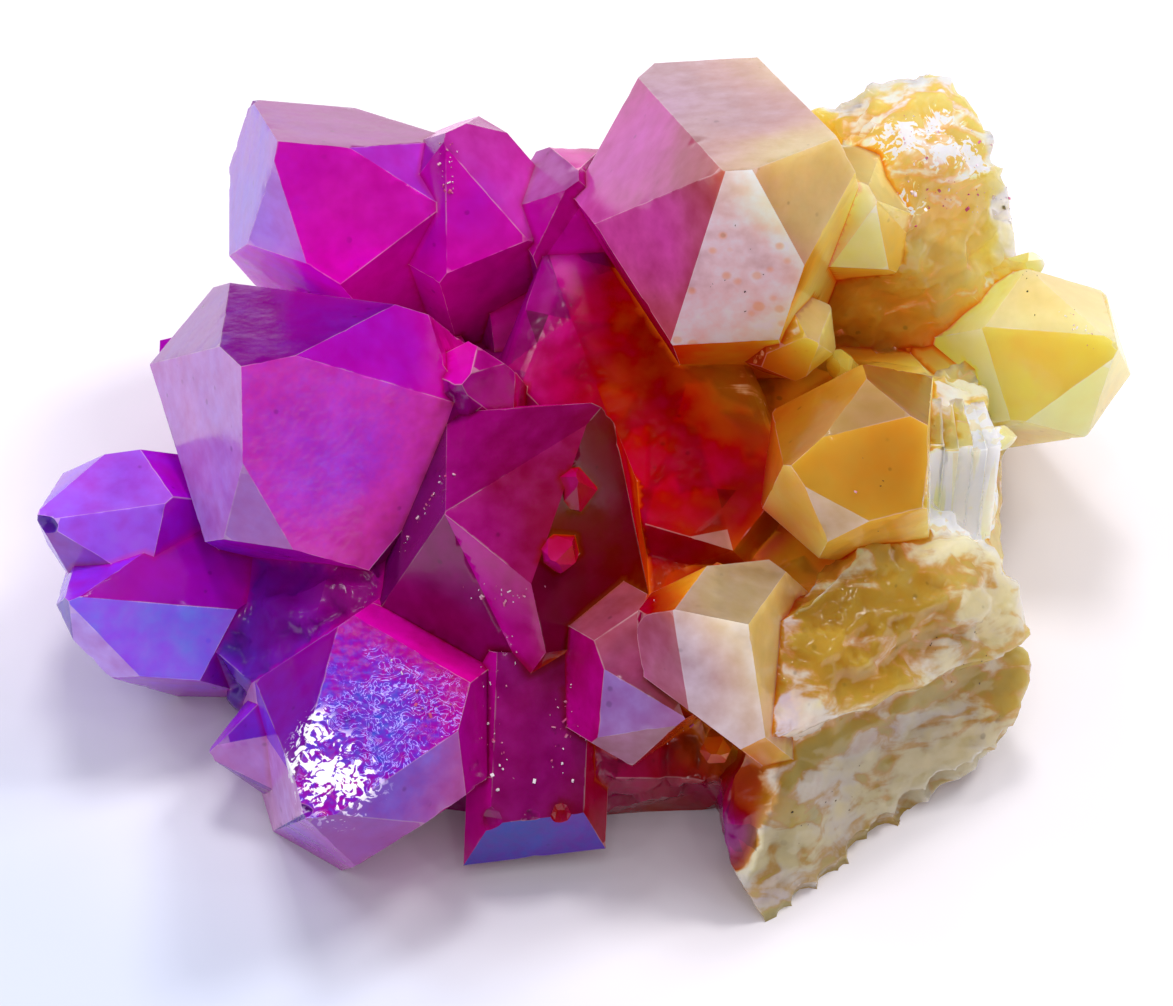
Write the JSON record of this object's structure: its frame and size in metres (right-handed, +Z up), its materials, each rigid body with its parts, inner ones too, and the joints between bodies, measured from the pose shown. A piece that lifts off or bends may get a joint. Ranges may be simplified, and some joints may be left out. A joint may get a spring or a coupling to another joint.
{
  "type": "titanium-coated quartz cluster",
  "caption": "Cluster of six-sided quartz points grown from one broken base, with a thin iridescent metal coating; a display mineral that rests on its flat underside.",
  "frame": {"origin": "middle of the cluster's box, on the flat underside it rests on", "axes": "+Z up, +X towards the amber end of the cluster, +Y towards its broken back"},
  "size_m": [0.0756, 0.0564, 0.0361],
  "materials": {
    "coated_quartz": "clear quartz under a thin glossy metal film that shades from violet and magenta on the left, through deep red, to amber and pale yellow on the right, with broken faces on the right front and right rear"
  },
  "bodies": {
    "root": {"quartz_cluster": "coated_quartz"}
  },
  "joints": []
}
